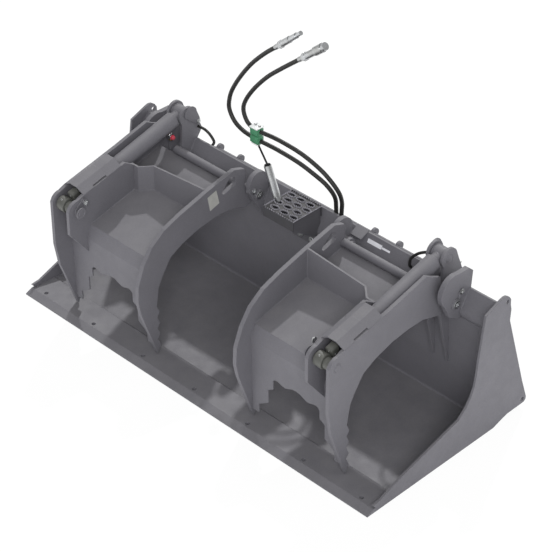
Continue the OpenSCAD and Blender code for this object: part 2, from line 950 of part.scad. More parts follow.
module rod_guard(s) {
    g = guard_t;
    w = bay_w / 2 + bay_t;
    color(paint)
        at_origin()
            side_of(s)
                difference() {
                    translate([cyl_x, guard_line[0][0] + 2, guard_line[0][1] + 2 * tan(guard_dir)])
                        rotate([guard_dir, 0, 0])
                            rotate([90, 0, 180])
                                linear_extrude(height = guard_len)
                                    polygon([[-w, 0], [-guard_top_w, guard_h], [guard_top_w, guard_h], [w, 0],
                                        [w - g * 1.8, 0], [guard_top_w - g * 0.3, guard_h - g],
                                        [-guard_top_w + g * 0.3, guard_h - g], [-w + g * 1.8, 0]]);
                    translate([cyl_x + w - 20, 143, 630])
                        rotate([guard_dir, 0, 0])
                            cube([30, 91, 8]);
                }
}

module rod_guard_left() {
    rod_guard(-1);
}

module rod_guard_right() {
    rod_guard(1);
}

// Ends of the rod pin that stay in the plates, with a flag plate and a bolt
module rod_pin_ends(s) {
    color(steel)
        at_origin()
            side_of(s) {
                bar_x(plate2_x0 - 2, bay_x0, rod_pin, cyl_pin_r);
                bar_x(bay_x1, plate3_x1 + 2, rod_pin, cyl_pin_r);
                slab(plate2_x0 - 6, plate2_x0)
                    polygon([[30, 552], [46, 546], [62, 552], [86, 606], [72, 614], [34, 578]]);
                translate([plate2_x0 - 6, 74, 602])
                    rotate([0, -90, 0])
                        cylinder(h = 6, r = 8, $fn = 6);
            }
}

module rod_pin_ends_left() {
    rod_pin_ends(-1);
}

module rod_pin_ends_right() {
    rod_pin_ends(1);
}

// Cylinder parts, built along the line from the base pin to the rod pin
barrel_start = 48;
barrel_end = 392;
gland_len = 16;

module on_axis(s) {
    at_origin()
        side_of(s)
            translate([cyl_x, base_pin[0], base_pin[1]])
                rotate([90 + tilt, 0, 0])
                    children();
}

module cross_bar(w, r) {
    translate([-w / 2, 0, 0])
        rotate([0, 90, 0])
            cylinder(h = w, r = r, $fn = 64);
}

module barrel(s) {
    color(paint)
        on_axis(s)
            difference() {
                union() {
                    cross_bar(eye_w, eye_r);
                    cylinder(h = barrel_start + 20, r = 26, $fn = 64);
                    translate([0, 0, barrel_start])
                        cylinder(h = barrel_end - barrel_start, r = barrel_r, $fn = 64);
                    translate([0, -barrel_r - 7, barrel_start + 36])
                        rotate([-90, 0, 0])
                            cylinder(h = 20, r = 12, $fn = 48);
                }
                cross_bar(eye_w + 2, cyl_pin_r + run_gap);
                translate([0, 0, barrel_start + 16])
                    cylinder(h = barrel_end, r = bore_r, $fn = 64);
            }
}

module barrel_left() {
    barrel(-1);
}

module barrel_right() {
    barrel(1);
}

module gland(s) {
    color(steel)
        on_axis(s)
            difference() {
                union() {
                    translate([0, 0, barrel_end])
                        cylinder(h = gland_len, r = barrel_r - 1, $fn = 64);
                    translate([0, 0, barrel_end - 22])
                        cylinder(h = 24, r = bore_r, $fn = 64);
                }
                translate([0, 0, barrel_end - 30])
                    cylinder(h = 60, r = rod_r + run_gap, $fn = 64);
            }
}

module gland_left() {
    gland(-1);
}

module gland_right() {
    gland(1);
}

// Hanging port fitting under the barrel: nipple, cross block, plug and nut
module port_fitting(s) {
    color(brass)
        on_axis(s)
            translate([0, -barrel_r - 7, barrel_start + 36])
                rotate([90, 0, 0]) {
                    cylinder(h = 12, r = 8, $fn = 48);
                    translate([0, 0, 10])
                        cylinder(h = 12, r = 10, $fn = 6);
                    translate([-13, -7, 20])
                        cube([26, 14, 15]);
                    translate([0, 0, 34])
                        cylinder(h = 12, r = 8, $fn = 48);
                }
}

module port_fitting_left() {
    port_fitting(-1);
}

module port_fitting_right() {
    port_fitting(1);
}

rod_start = 330;
eye_neck = 44;

module rod(s) {
    color(steel)
        on_axis(s) {
            translate([0, 0, rod_start])
                cylinder(h = pin_span - eye_neck - rod_start, r = rod_r, $fn = 64);
            translate([0, 0, rod_start])
                cylinder(h = 30, r = bore_r - run_gap, $fn = 64);
        }
}

module rod_left() {
    rod(-1);
}

module rod_right() {
    rod(1);
}

// Rod end eye with the middle part of the pin inside it
module rod_eye(s) {
    color(steel)
        on_axis(s) {
            translate([0, 0, pin_span - eye_neck])
                cylinder(h = eye_neck, r = 20, $fn = 64);
            translate([0, 0, pin_span])
                cross_bar(eye_w, eye_r);
            translate([0, 0, pin_span])
                cross_bar(bay_w - 1, cyl_pin_r);
        }
}

module rod_eye_left() {
    rod_eye(-1);
}

module rod_eye_right() {
    rod_eye(1);
}

bucket_shell();
top_rail();
side_plate_left();
side_plate_right();
cutting_edge();
quick_attach_plate();
quick_attach_hook();
quick_attach_flange();
quick_attach_gussets();
pivot_ear_inner_left();
pivot_ear_inner_right();
pivot_ear_outer_left();
pivot_ear_outer_right();
clevis_ears_left();
clevis_ears_right();
pivot_pin_left();
pivot_pin_right();
base_pin_left();
base_pin_right();
hex_bolts();
step_tread();
step_bracket();
hose_tube();
hose_spring();
hose_clamp();
rail_cover();
supply_hose_a();
supply_hose_b();
coupler_male();
coupler_female();
jumper_hose_left();
jumper_hose_right();
tine_inner_left();
bay_plate_left();
tine_outer_left();
pan_sheet_left();
fence_left();
pivot_boss_left();
rear_tube_left();
rod_guard_left();
rod_pin_ends_left();
tine_inner_right();
bay_plate_right();
tine_outer_right();
pan_sheet_right();
fence_right();
pivot_boss_right();
rear_tube_right();
rod_guard_right();
rod_pin_ends_right();
barrel_left();
gland_left();
port_fitting_left();
barrel_right();
gland_right();
port_fitting_right();
rod_left();
rod_eye_left();
rod_right();
rod_eye_right();
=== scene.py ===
import json
import math

import bmesh
import bpy
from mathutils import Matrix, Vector


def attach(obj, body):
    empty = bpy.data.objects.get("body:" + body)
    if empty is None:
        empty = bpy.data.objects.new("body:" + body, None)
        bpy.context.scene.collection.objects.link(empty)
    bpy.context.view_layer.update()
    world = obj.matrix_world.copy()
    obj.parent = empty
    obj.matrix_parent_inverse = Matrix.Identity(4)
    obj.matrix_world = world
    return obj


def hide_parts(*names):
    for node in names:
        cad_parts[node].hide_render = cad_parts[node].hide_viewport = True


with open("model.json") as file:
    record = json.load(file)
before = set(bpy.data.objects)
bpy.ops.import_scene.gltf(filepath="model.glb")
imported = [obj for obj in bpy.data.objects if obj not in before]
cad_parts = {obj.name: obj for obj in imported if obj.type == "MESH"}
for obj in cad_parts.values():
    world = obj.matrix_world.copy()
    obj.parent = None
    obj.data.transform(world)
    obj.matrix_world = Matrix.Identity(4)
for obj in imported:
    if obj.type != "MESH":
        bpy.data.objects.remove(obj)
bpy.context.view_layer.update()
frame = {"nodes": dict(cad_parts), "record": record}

# The side view's depths count from the cutting edge's tip, the frame's from the middle
DEPTH = 0.923
SIDES = (("left", -1), ("right", 1))


def at(x, y, z):
    return Vector((x, y - DEPTH / 2, z))


def add_object(name, data):
    made = bpy.data.objects.new(name, data)
    bpy.context.scene.collection.objects.link(made)
    return made


# Camera at the photograph's place
CAM_PLACE = Vector((4.794, -4.7705, 5.283))
CAM_AZIMUTH = math.radians(44.82)
CAM_HEIGHT = math.radians(36.02)
CAM_FOCAL_PX = 2082.5
FRAME_PX = 552
SENSOR_MM = 36.0


def make_camera():
    data = bpy.data.cameras.new("camera")
    data.sensor_width = SENSOR_MM
    data.lens = CAM_FOCAL_PX / FRAME_PX * SENSOR_MM
    data.clip_start = 0.1
    data.clip_end = 100
    camera = add_object("camera", data)
    camera.location = CAM_PLACE
    away = Vector((math.sin(CAM_AZIMUTH) * math.cos(CAM_HEIGHT),
                   -math.cos(CAM_AZIMUTH) * math.cos(CAM_HEIGHT), math.sin(CAM_HEIGHT)))
    camera.rotation_mode = "QUATERNION"
    camera.rotation_quaternion = (-away).to_track_quat("-Z", "Y")
    bpy.context.scene.camera = camera


make_camera()

# Procedural materials


class Nodes:
    """A material's node tree with short calls for what the finishes share."""

    def __init__(self, name):
        self.material = bpy.data.materials.new(name)
        self.material.use_nodes = True
        self.tree = self.material.node_tree
        self.shader = self.tree.nodes["Principled BSDF"]
        self.place = self.add("ShaderNodeTexCoord").outputs["Object"]

    def add(self, kind, **settings):
        node = self.tree.nodes.new(kind)
        for key, value in settings.items():
            setattr(node, key, value)
        return node

    def link(self, a, b):
        self.tree.links.new(a, b)

    def feed(self, socket, value):
        """Link a socket to another node, or give it a plain value."""
        if isinstance(value, bpy.types.NodeSocket):
            self.link(value, socket)
        else:
            socket.default_value = value

    def noise(self, scale, detail=3.0):
        node = self.add("ShaderNodeTexNoise")
        node.inputs["Scale"].default_value = scale
        node.inputs["Detail"].default_value = detail
        node.inputs["Roughness"].default_value = 0.55
        self.link(self.place, node.inputs["Vector"])
        return node.outputs["Fac"]

    def ramp(self, fac, low, low_color, high, high_color):
        node = self.add("ShaderNodeValToRGB")
        stops = zip(node.color_ramp.elements, (low, high), (low_color, high_color))
        for item, place, color in stops:
            item.position = place
            item.color = four(color)
        self.link(fac, node.inputs["Fac"])
        return node.outputs["Color"]

    def tone(self, fac, color, darker, lighter):
        """The colour between two shares of itself."""
        return self.ramp(fac, 0.3, scaled(color, darker), 0.7, scaled(color, lighter))

    def mix(self, fac, a, b, mode="MIX"):
        node = self.add("ShaderNodeMix", data_type="RGBA", blend_type=mode)
        for socket, value in ((node.inputs[0], fac), (node.inputs[6], a), (node.inputs[7], b)):
            self.feed(socket, value)
        return node.outputs[2]

    def times(self, a, b):
        """Product of two values, held between 0 and 1."""
        node = self.add("ShaderNodeMath", operation="MULTIPLY", use_clamp=True)
        self.feed(node.inputs[0], a)
        self.feed(node.inputs[1], b)
        return node.outputs[0]

    def span(self, value, low, high, to_low, to_high):
        node = self.add("ShaderNodeMapRange")
        self.link(value, node.inputs["Value"])
        for key, number in (("From Min", low), ("From Max", high),
                            ("To Min", to_low), ("To Max", to_high)):
            node.inputs[key].default_value = number
        return node.outputs["Result"]

    def color(self, socket):
        self.link(socket, self.shader.inputs["Base Color"])

    def uneven(self, scale, detail, low, high):
        """Roughness that wanders between two values."""
        rough = self.span(self.noise(scale, detail), 0.3, 0.7, low, high)
        self.link(rough, self.shader.inputs["Roughness"])

    def bump(self, height, strength, distance, normal=None):
        node = self.add("ShaderNodeBump")
        node.inputs["Strength"].default_value = strength
        node.inputs["Distance"].default_value = distance
        self.link(height, node.inputs["Height"])
        if normal is not None:
            self.link(normal, node.inputs["Normal"])
        self.link(node.outputs["Normal"], self.shader.inputs["Normal"])

    def rounded(self, radius):
        node = self.add("ShaderNodeBevel", samples=4)
        node.inputs["Radius"].default_value = radius
        return node.outputs["Normal"]


def linear(r, g, b):
    def one(c):
        c /= 255
        return c / 12.92 if c <= 0.04045 else ((c + 0.055) / 1.055) ** 2.4
    return (one(r), one(g), one(b))


def four(color):
    return (*color, 1)


def scaled(color, k):
    return tuple(min(c * k, 1) for c in color)


PAINT_COLOR = linear(108, 107, 113)
DUST_COLOR = linear(168, 166, 160)
# Share of the paler edge colour: partly worn paint, partly a painted highlight along the edges
WORN_EDGE_AND_HIGHLIGHT_SHARE = 1.75
EDGE_RADIUS = 0.0022
HOSE_BLACK = (0.008, 0.0078, 0.007)


def paint(name, color=PAINT_COLOR, gloss=0.66, wear_and_highlight=0.5):
    """Sprayed grey paint: faint mottling, dust on flat tops, paler edges that are partly worn paint
    and partly a painted highlight, orange peel.
    """
    n = Nodes(name)
    cloud = n.tone(n.noise(3.5), color, 0.93, 1.07)
    speck = n.ramp(n.noise(260, 2), 0.35, (0.93, 0.93, 0.93), 0.65, (1.05, 1.05, 1.05))
    body = n.mix(1.0, cloud, speck, "MULTIPLY")
    normal = n.add("ShaderNodeNewGeometry").outputs["Normal"]
    up = n.add("ShaderNodeSeparateXYZ")
    n.link(normal, up.inputs[0])
    dusty = n.times(n.span(up.outputs["Z"], 0.6, 1.0, 0.0, 0.16), n.noise(14, 5))
    body = n.mix(dusty, body, four(DUST_COLOR))
    round_normal = n.rounded(EDGE_RADIUS)
    facing = n.add("ShaderNodeVectorMath", operation="DOT_PRODUCT")
    n.link(round_normal, facing.inputs[0])
    n.link(normal, facing.inputs[1])
    # Paler edges: partly worn paint, partly a painted highlight where light catches each rounded
    # edge
    edge = n.span(facing.outputs["Value"], 0.995, 0.86, 0.0, wear_and_highlight)
    worn_edge_and_highlight = n.times(edge, n.span(n.noise(38, 4), 0.42, 0.62, 0.25, 1.0))
    n.color(n.mix(worn_edge_and_highlight, body, four(scaled(color, WORN_EDGE_AND_HIGHLIGHT_SHARE))))
    n.uneven(22, 4, gloss - 0.07, gloss + 0.09)
    n.bump(n.noise(420, 2), 0.16, 0.0006, round_normal)
    n.shader.inputs["IOR"].default_value = 1.5
    return n.material


def metal(name, color, rough=0.35, grain=(1, 1, 1), speck=0.12):
    """Bare or plated metal with a fine grain and uneven gloss."""
    n = Nodes(name)
    stretch = n.add("ShaderNodeMapping")
    stretch.inputs["Scale"].default_value = grain
    n.link(n.place, stretch.inputs["Vector"])
    fine = n.add("ShaderNodeTexNoise")
    fine.inputs["Scale"].default_value = 180
    fine.inputs["Detail"].default_value = 4
    n.link(stretch.outputs["Vector"], fine.inputs["Vector"])
    tone = n.tone(fine.outputs["Fac"], color, 1 - speck, 1 + speck)
    stain = n.ramp(n.noise(16, 4), 0.35, (0.84, 0.83, 0.80), 0.6, (1, 1, 1))
    n.color(n.mix(1.0, tone, stain, "MULTIPLY"))
    n.uneven(60, 3, rough - 0.06, rough + 0.1)
    n.bump(fine.outputs["Fac"], 0.12, 0.0004, n.rounded(0.0006))
    n.shader.inputs["Metallic"].default_value = 1.0
    return n.material


def rubber(name):
    """Smooth black hose cover with a wrapped cloth mark."""
    n = Nodes(name)
    n.color(n.tone(n.noise(30, 4), HOSE_BLACK, 0.75, 1.5))
    wrap = n.add("ShaderNodeTexWave", wave_type="BANDS", bands_direction="Z")
    wrap.inputs["Scale"].default_value = 130
    wrap.inputs["Distortion"].default_value = 1.5
    n.link(n.place, wrap.inputs["Vector"])
    n.bump(wrap.outputs["Fac"], 0.15, 0.0005)
    n.uneven(90, 3, 0.44, 0.6)
    return n.material


def plastic(name, color, rough=0.45):
    """Moulded plastic or print film with a fine grain."""
    n = Nodes(name)
    n.color(n.tone(n.noise(24, 4), color, 0.88, 1.12))
    n.uneven(120, 3, rough - 0.05, rough + 0.1)
    n.bump(n.noise(800, 2), 0.12, 0.0004, n.rounded(0.001))
    return n.material


LOOKS = {
    "bucket_paint": paint("bucket_paint"),
    "grapple_paint": paint("grapple_paint"),
    "cylinder_paint": paint("cylinder_paint", scaled(PAINT_COLOR, 0.98), 0.6),
    "pin_steel": metal("pin_steel", linear(128, 127, 122), 0.42),
    "zinc": metal("zinc", linear(186, 188, 190), 0.30),
    "rod_chrome": metal("rod_chrome", linear(206, 208, 210), 0.14, (1, 1, 8), 0.04),
    "eye_steel": paint("eye_steel", linear(86, 87, 83), 0.45),
    "fitting_brass": metal("fitting_brass", linear(196, 162, 96), 0.32),
    "hose_rubber": rubber("hose_rubber"),
    "spring_black": metal("spring_black", linear(52, 52, 54), 0.4),
    "clamp_green": plastic("clamp_green", linear(62, 128, 92)),
}
STEP_PAINT = paint("step_paint", scaled(PAINT_COLOR, 0.36), 0.7)
BRACKET_PAINT = paint("bracket_paint", scaled(PAINT_COLOR, 0.7), 0.6)
# The teeth take the paler edge colour at full share: partly worn paint, partly a painted highlight
TOOTH_PAINT = paint("tooth_paint", scaled(PAINT_COLOR, 1.9), 0.5, 1.0)
CAP_RED = plastic("cap_red", linear(205, 72, 88), 0.4)
COVER_ZINC = plastic("cover_zinc", linear(226, 228, 228), 0.4)
LABEL_WHITE = plastic("label_white", linear(232, 232, 238))
LABEL_GREY = plastic("label_grey", linear(172, 172, 168))

# Nodes whose paint in the photograph isn't their slot's usual look
NODE_LOOKS = {"step_tread": STEP_PAINT, "step_bracket": BRACKET_PAINT}
for side, _ in SIDES:
    NODE_LOOKS["pivot_pin_" + side] = LOOKS["bucket_paint"]
    NODE_LOOKS["base_pin_" + side] = LOOKS["bucket_paint"]
    NODE_LOOKS["gland_" + side] = LOOKS["cylinder_paint"]
    NODE_LOOKS["rod_pin_ends_" + side] = LOOKS["grapple_paint"]


def dress_nodes():
    for part in frame["record"]["subparts"]:
        node = frame["nodes"][part["node"]]
        node.data.materials.clear()
        node.data.materials.append(NODE_LOOKS.get(part["node"], LOOKS[part["material_slot"]]))


dress_nodes()

# Free hoses: the same points as the solids, given in metres in the side view's frame
SUPPLY_R = 0.009
JUMPER_R = 0.006
ROUTE_A = [(.118, .738, .556), (.118, .738, .584), (.118, .737, .620), (.122, .723, .681),
           (.088, .707, .731), (.024, .690, .768), (-.039, .673, .797), (-.130, .652, .822),
           (-.205, .640, .831), (-.257, .640, .831), (-.312, .640, .838), (-.358, .640, .860),
           (-.386, .640, .900), (-.389, .640, .940), (-.371, .640, 1.000), (-.322, .640, 1.083),
           (-.257, .640, 1.169), (-.184, .640, 1.244), (-.126, .640, 1.294)]
ROUTE_B = [(.146, .738, .556), (.146, .738, .584), (.148, .737, .620), (.158, .726, .674),
           (.150, .711, .727), (.096, .697, .784), (.030, .683, .824), (-.038, .668, .852),
           (-.128, .650, .872), (-.205, .640, .875), (-.257, .640, .876), (-.290, .640, .895),
           (-.307, .640, .938), (-.293, .640, .987), (-.245, .640, 1.060), (-.172, .640, 1.143),
           (-.088, .640, 1.218), (.001, .640, 1.292)]
ROUTE_RIGHT = [(.6785, .735, .655), (.664, .735, .656), (.646, .729, .664), (.620, .710, .668),
               (.592, .692, .656), (.566, .684, .626), (.554, .690, .588), (.554, .699, .56893)]
ROUTE_LEFT = [(-.6785, .735, .655), (-.664, .736, .655), (-.644, .741, .650),
              (-.624, .748, .634), (-.606, .752, .612), (-.600, .750, .600), (-.600, .73723, .589)]


def smooth(points, steps):
    """Catmull-Rom curve through the points, the way the solids are swept."""
    p = [Vector(v) for v in points]
    last = len(p) - 1
    out = []
    for i in range(last):
        a, b, c, d = p[max(i - 1, 0)], p[i], p[i + 1], p[min(i + 2, last)]
        for j in range(steps):
            t = j / steps
            out.append(0.5 * (2 * b + (c - a) * t + (2 * a - 5 * b + 4 * c - d) * t ** 2
                              + (3 * b - a - 3 * c + d) * t ** 3))
    out.append(p[last])
    return out


def free_hose(name, route, radius, node):
    line = [at(*v) for v in smooth(route, 6)]
    data = bpy.data.curves.new(name, "CURVE")
    data.dimensions = "3D"
    data.bevel_depth = radius
    data.bevel_resolution = 6
    data.use_fill_caps = True
    spline = data.splines.new("POLY")
    spline.points.add(len(line) - 1)
    for point, place in zip(spline.points, line):
        point.co = (*place, 1)
    hose = add_object(name, data)
    data.materials.append(LOOKS["hose_rubber"])
    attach(hose, "bucket")
    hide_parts(node)


free_hose("hose_a", ROUTE_A, SUPPLY_R, "supply_hose_a")
free_hose("hose_b", ROUTE_B, SUPPLY_R, "supply_hose_b")
free_hose("hose_right", ROUTE_RIGHT, JUMPER_R, "jumper_hose_right")
free_hose("hose_left", ROUTE_LEFT, JUMPER_R, "jumper_hose_left")

# Pieces in mesh code, in the side view's millimetres
UP = Vector((0, 0, 1))
EAST = Vector((1, 0, 0))
BACKWARD = Vector((0, 1, 0))
HEXAGON = 6
SMALL_STEPS = 20
MIDDLE_STEPS = 28
TUBE_STEPS = 40
SHADE_ANGLE = math.radians(34)
BEVEL_ANGLE = math.radians(35)


def mm(x, y, z):
    return at(x / 1000, y / 1000, z / 1000)


def axes(along):
    """Two directions across a third one, and that one in unit length."""
    n = Vector(along).normalized()
    hint = EAST if abs(n.dot(UP)) > 0.99 else UP
    u = hint.cross(n).normalized()
    return u, n.cross(u), n


def wrap(bm, low, high):
    """Band of faces between two closed rings of vertices."""
    count = len(low)
    for k in range(count):
        bm.faces.new((low[k], low[(k + 1) % count], high[(k + 1) % count], high[k]))


def turned(bm, place, along, profile, steps=TUBE_STEPS, closed=False):
    """Surface turned from (distance, radius) pairs in mm; a closed profile makes a ring."""
    u, v, n = axes(along)
    rings = []
    for distance, radius in profile:
        ring = []
        for k in range(steps):
            a = math.tau * k / steps
            out = (u * math.cos(a) + v * math.sin(a)) * radius
            ring.append(bm.verts.new(place + (n * distance + out) / 1000))
        rings.append(ring)
    pairs = list(zip(rings, rings[1:]))
    if closed:
        pairs.append((rings[-1], rings[0]))
    for low, high in pairs:
        wrap(bm, low, high)
    if not closed:
        bm.faces.new(rings[0][::-1])
        bm.faces.new(rings[-1])


def prism(bm, place, u, v, outline, depth):
    """Plate with an outline in mm along u and v, and a thickness along their normal."""
    n = u.cross(v).normalized()
    low = [bm.verts.new(place + (u * a + v * b) / 1000) for a, b in outline]
    high = [bm.verts.new(p.co + n * depth / 1000) for p in low]
    bm.faces.new(low[::-1])
    bm.faces.new(high)
    wrap(bm, low, high)


def plate_x(bm, x0, x1, outline):
    """Plate across X between two places, its outline given as depth and height."""
    prism(bm, mm(x0, 0, 0), BACKWARD, UP, outline, x1 - x0)


def bolt(bm, place, along, radius=9.5, height=6.0, washer=13.5):
    """Hexagon head on a washer, with the thread's end standing out of it."""
    turned(bm, place, along, [(0, washer), (1.6, washer), (2.2, washer - 1)], 32)
    turned(bm, place, along,
           [(2, radius), (2 + height * 0.75, radius), (2 + height, radius * 0.84)], HEXAGON)
    turned(bm, place, along,
           [(height, radius * 0.5), (height + 3, radius * 0.5), (height + 3.8, radius * 0.38)],
           SMALL_STEPS)


def bead(bm, points, radius, pitch=5.0):
    """Weld bead: a rippled tube along straight runs between points."""
    steps = 8
    for a, b in zip(points, points[1:]):
        u, v, n = axes(b - a)
        count = max(2, int((b - a).length * 1000 / pitch))
        rings = []
        for i in range(count + 1):
            r = radius * (1.0 if i % 2 else 0.82)
            place = a.lerp(b, i / count)
            ring = []
            for k in range(steps):
                turn = math.tau * k / steps
                out = (u * math.cos(turn) + v * math.sin(turn)) * r
                ring.append(bm.verts.new(place + out / 1000))
            rings.append(ring)
        for low, high in zip(rings, rings[1:]):
            wrap(bm, low, high)
        bm.faces.new(rings[0][::-1])
        bm.faces.new(rings[-1])


def piece(name, bm, slot, body, look=None, replaces=(), soften=0.0):
    """Object from a finished bmesh, on its body and slot; soften bevels its edges by so many mm."""
    bmesh.ops.recalc_face_normals(bm, faces=bm.faces)
    if soften:
        sharp = [e for e in bm.edges
                 if len(e.link_faces) == 2 and e.calc_face_angle() > BEVEL_ANGLE]
        bmesh.ops.bevel(bm, geom=sharp, offset=soften / 1000, segments=2, affect="EDGES",
                        clamp_overlap=True, profile=0.5)
    mesh = bpy.data.meshes.new(name)
    bm.to_mesh(mesh)
    bm.free()
    mesh.materials.append(look or LOOKS[slot])
    mesh.shade_smooth()
    mesh.set_sharp_from_angle(angle=SHADE_ANGLE)
    made = add_object(name, mesh)
    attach(made, body)
    if replaces:
        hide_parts(*replaces)


# Places of the solids, as (depth, height) pairs or as distances from the middle
PIVOT = (640, 570)
BASE_PIN = (677, 727)
ROD_PIN = (46, 564)
CYL_X = 720
INNER_EAR = 224
OUTER_EAR = 833
EAR_T = 22
CLEVIS_IN = 678.5
CLEVIS_OUT = 761.5
CLEVIS_T = 12
PLATE_IN = 660
PLATE_OUT = 780
PIN_HEAD_X = PLATE_IN - 22
TILT = math.atan2(BASE_PIN[1] - ROD_PIN[1], BASE_PIN[0] - ROD_PIN[0])
ROD_WAY = Vector((0, -math.cos(TILT), -math.sin(TILT)))
HANG_WAY = Vector((0, math.sin(TILT), -math.cos(TILT)))

# The step's bolts stand square on its bracket, which leans on the back wall
STEP_LEAN = math.atan2(16, 262)
STEP_BOLT_X = 31.5
STEP_BOLT = (686.9, 447)
OUTER_LOCK = (668, 616)
INNER_LOCK = (612, 598)
CLEVIS_BOLT = (755.5, 745, 670)
CLEVIS_BOLT_WAY = Vector((0, 0.928, 0.371))


def bolt_heads():
    """Hexagon bolts of the step's bracket, the pivot pins' locks and the clevis ears."""
    bm = bmesh.new()
    tail = Vector((0, -math.cos(STEP_LEAN), -math.sin(STEP_LEAN)))
    for x in (-STEP_BOLT_X, STEP_BOLT_X):
        bolt(bm, mm(x, *STEP_BOLT), tail)
    clevis_x, clevis_y, clevis_z = CLEVIS_BOLT
    for _, s in SIDES:
        bolt(bm, mm(s * (OUTER_EAR + 4), *OUTER_LOCK), EAST * s, 8.5, 5, 12.5)
        bolt(bm, mm(s * (INNER_EAR - 4), *INNER_LOCK), -EAST * s, 8.5, 5, 12.5)
        bolt(bm, mm(s * clevis_x, clevis_y, clevis_z), CLEVIS_BOLT_WAY, 5.6, 5, 5.9)
    piece("bolt_heads", bm, "zinc", "bucket", replaces=("hex_bolts",))


def pin_ends():
    """Hexagon caps, retaining rings and lock tabs on the pivot pins' heads."""
    outer_tab = [(10, 18), (20, 10), (40, 36), (42, 50), (34, 58), (22, 56)]
    inner_tab = [(-18, 8), (-8, 20), (-16, 38), (-28, 44), (-38, 36), (-38, 24)]
    caps = bmesh.new()
    tabs = bmesh.new()
    for _, s in SIDES:
        for x, way in ((s * (INNER_EAR - 6), -s), (s * (OUTER_EAR + 6), s)):
            place = mm(x, *PIVOT)
            out = EAST * way
            turned(caps, place, out, [(0, 12.9), (6.4, 12.9), (8.4, 10.8)], HEXAGON)
            turned(caps, place, out,
                   [(0.2, 15), (0.2, 18.4), (1.6, 19), (3, 18.4), (3, 15)], closed=True)
            turned(caps, place, out, [(8, 5.2), (9.6, 5.2), (10.2, 4.2)], SMALL_STEPS)
        prism(tabs, mm(s * (OUTER_EAR + 0.1), *PIVOT), BACKWARD, UP, outer_tab, 4 * s)
        prism(tabs, mm(s * (INNER_EAR - 0.1), *PIVOT), BACKWARD, UP, inner_tab, -4 * s)
    piece("pin_caps", caps, "zinc", "bucket")
    piece("pin_tabs", tabs, "bucket_paint", "bucket", soften=0.8)


def base_flags():
    """Flag plates that hold the cylinders' base pins, with rings round the pins' other ends."""
    round_y, round_z, round_r = 691, 734, 34
    flag_t = 5
    plates = bmesh.new()
    bolts = bmesh.new()
    turns = [math.radians(5 + 9 * i) for i in range(21)]
    arc = [(round_y + round_r * math.cos(a), round_z + round_r * math.sin(a)) for a in turns]
    outline = arc + [(660, 725), (727, 669), (740, 671), (744, 682), (740, 700)]
    for _, s in SIDES:
        prism(plates, mm(s * CLEVIS_IN, 0, 0), BACKWARD, UP, outline, -flag_t * s)
        bolt(bolts, mm(s * (CLEVIS_IN - flag_t), 733, 683), -EAST * s, 7.5, 5, 10.5)
        place = mm(s * CLEVIS_OUT, *BASE_PIN)
        turned(plates, place, EAST * s,
               [(-0.5, 16.2), (1.6, 17), (1.4, 19.4), (-0.5, 21)], closed=True)
        turned(plates, place, EAST * s, [(0.5, 15.6), (1.2, 15.6), (1.7, 14.6)])
    piece("base_flags", plates, "bucket_paint", "bucket", soften=0.6)
    piece("base_flag_bolts", bolts, "zinc", "bucket")


def cylinder_eyes():
    """Rims and a grease boss on each base eye, rings at each barrel's two ends."""
    boss_way = Vector((0, -0.94, 0.34)).normalized()
    barrel_end = 0.392
    for side, s in SIDES:
        centre = mm(s * CYL_X, *BASE_PIN)
        rims = bmesh.new()
        for x0, x1 in ((-28.4, -23.5), (23.5, 28.4)):
            turned(rims, centre, EAST,
                   [(x0, 30), (x0, 33.2), (x0 + 1, 34), (x1 - 1, 34), (x1, 33.2), (x1, 30)],
                   closed=True)
        turned(rims, centre, ROD_WAY, [(44, 26.5), (45, 31), (48, 33.5), (48.5, 24)],
               closed=True)
        turned(rims, centre, boss_way, [(29, 10), (34.5, 10), (35.5, 9), (35.5, 5), (29, 5)],
               closed=True)
        piece("base_eye_" + side, rims, "cylinder_paint", "cylinder_" + side)
        nipple = bmesh.new()
        turned(nipple, centre, boss_way,
               [(31, 4), (35, 4), (35.4, 3), (38, 2.4), (39, 3), (40.5, 3), (41.5, 1.6)], 18)
        place = centre + ROD_WAY * barrel_end
        turned(nipple, place, ROD_WAY, [(2, 34.6), (2, 36), (7, 36), (8, 35), (8, 34.6)],
               closed=True)
        turned(nipple, place, ROD_WAY,
               [(15.6, 17), (15.6, 23), (18, 22.4), (20.4, 17.6), (20.4, 17)], closed=True)
        piece("base_nipple_" + side, nipple, "zinc", "cylinder_" + side)


EYE_PROFILE = [(-43.4, 15.9), (-43.2, 22), (-42, 23.5), (-37, 23.5), (-36, 22.5),
               (-35.5, 22.5), (-35.5, 30), (-33.5, 32), (3.5, 32), (5.5, 30), (5.5, 21.5),
               (8.5, 21.5), (8.5, 24), (10, 25.5), (40.5, 25.5), (42.5, 24), (43.4, 15.9)]
SPLIT_BLOCK = [(-21, -19), (-19, -21), (19, -21), (21, -19), (21, 14), (14, 21), (3, 21),
               (3, 8), (-3, 8), (-3, 21), (-14, 21), (-21, 14)]
EYE_LUG = [(-18, 8), (18, 8), (18, 40), (12, 48), (-12, 48), (-18, 40)]
SCREW_HEAD = [(0, 6), (5.2, 6), (6.8, 4.6)]


